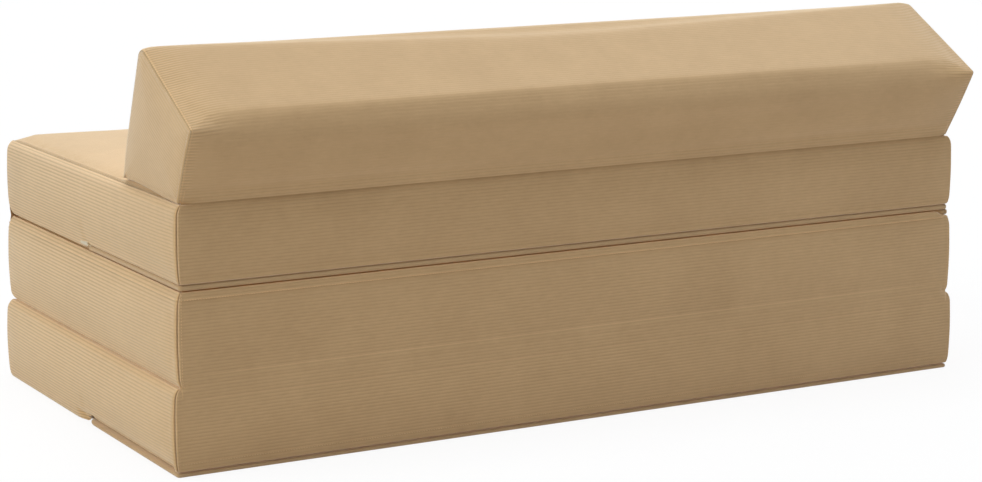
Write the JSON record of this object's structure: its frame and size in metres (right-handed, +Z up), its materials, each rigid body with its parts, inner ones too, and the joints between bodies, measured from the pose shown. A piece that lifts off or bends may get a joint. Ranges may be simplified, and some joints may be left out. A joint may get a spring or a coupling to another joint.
{
  "type": "folding sofa bed",
  "caption": "Foam seat of stacked sections on fabric hinges that unfolds into a flat bed, with a wedge backrest that tips over as a headrest.",
  "frame": {"origin": "on the floor under the plan centre of the stacked sections", "axes": "+X along the sofa's width, -Y the way the seat faces, +Z up"},
  "size_m": [1.22, 0.6733, 0.5303],
  "materials": {
    "cover_cloth": "fine ribbed upholstery cloth, matte",
    "panel_cloth": "plain woven closing cloth, matte",
    "zip_tape": "woven zip tape with moulded teeth",
    "zip_metal": "light plated metal",
    "dark_metal": "dark plated metal",
    "foam": "open-cell foam"
  },
  "bodies": {
    "base": {"base_foam_core": "foam", "base_cover": "cover_cloth", "base_zip_panel": "panel_cloth", "base_zip_chain": "zip_tape", "base_front_seam": "cover_cloth", "lower_hinge_base_leaf": "cover_cloth"},
    "middle": {"middle_foam_core": "foam", "middle_cover": "cover_cloth", "middle_zip_panel": "panel_cloth", "middle_zip_chain": "zip_tape", "middle_front_seam": "cover_cloth", "lower_hinge_middle_leaf": "cover_cloth", "upper_hinge_middle_leaf": "cover_cloth"},
    "seat": {"seat_foam_core": "foam", "seat_cover": "cover_cloth", "seat_zip_panel": "panel_cloth", "seat_zip_chain": "zip_tape", "seat_front_seam": "cover_cloth", "upper_hinge_seat_leaf": "cover_cloth", "backrest_hinge_seat_leaf": "cover_cloth"},
    "backrest": {"backrest_foam_core": "foam", "backrest_cover": "cover_cloth", "backrest_zip_panel": "panel_cloth", "backrest_zip_chain": "zip_tape", "backrest_seam": "cover_cloth", "backrest_hinge_backrest_leaf": "cover_cloth"},
    "base_slider": {"base_zip_slider": "dark_metal"},
    "middle_slider": {"middle_zip_slider": "zip_metal"},
    "seat_slider": {"seat_zip_slider": "zip_metal"},
    "backrest_slider": {"backrest_zip_slider": "zip_metal"},
    "base_pull": {"base_zip_pull": "dark_metal"},
    "middle_pull": {"middle_zip_pull": "zip_metal"},
    "seat_pull": {"seat_zip_pull": "zip_metal"},
    "backrest_pull": {"backrest_zip_pull": "zip_metal"}
  },
  "joints": [
    {"name": "middle_unfold", "type": "hinge", "parent": "base", "child": "middle", "pos_m": [0, 0.318, 0.1185], "axis": [-1, 0, 0], "range_deg": [0, 180]},
    {"name": "seat_unfold", "type": "hinge", "parent": "middle", "child": "seat", "pos_m": [0, -0.318, 0.237], "axis": [1, 0, 0], "range_deg": [0, 180]},
    {"name": "backrest_tip", "type": "hinge", "parent": "seat", "child": "backrest", "pos_m": [0, 0.318, 0.346], "axis": [-1, 0, 0], "range_deg": [0, 150]},
    {"name": "base_zip_slide", "type": "slide", "parent": "base", "child": "base_slider", "axis": [0, 1, 0], "range_m": [0, 0.28]},
    {"name": "middle_zip_slide", "type": "slide", "parent": "middle", "child": "middle_slider", "axis": [0, 1, 0], "range_m": [0, 0.28]},
    {"name": "seat_zip_slide", "type": "slide", "parent": "seat", "child": "seat_slider", "axis": [0, 1, 0], "range_m": [0, 0.28]},
    {"name": "backrest_zip_slide", "type": "slide", "parent": "backrest", "child": "backrest_slider", "axis": [-1, 0, 0], "range_m": [0, 1.08]},
    {"name": "base_pull_swing", "type": "hinge", "parent": "base_slider", "child": "base_pull", "pos_m": [0.6033, 0.005, 0.0095], "axis": [0, 0, 1], "range_deg": [0, 180]},
    {"name": "middle_pull_swing", "type": "hinge", "parent": "middle_slider", "child": "middle_pull", "pos_m": [-0.6033, 0.005, 0.2272], "axis": [0, 0, -1], "range_deg": [0, 180]},
    {"name": "seat_pull_swing", "type": "hinge", "parent": "seat_slider", "child": "seat_pull", "pos_m": [0.6033, 0.005, 0.2465], "axis": [0, 0, 1], "range_deg": [0, 180]},
    {"name": "backrest_pull_swing", "type": "hinge", "parent": "backrest_slider", "child": "backrest_pull", "pos_m": [0.54, 0.1327, 0.3548], "axis": [0, 0, -1], "range_deg": [0, 180]}
  ],
  "couplings": [
    {"joint": "seat_unfold", "follows": "middle_unfold", "ratio": 1}
  ]
}
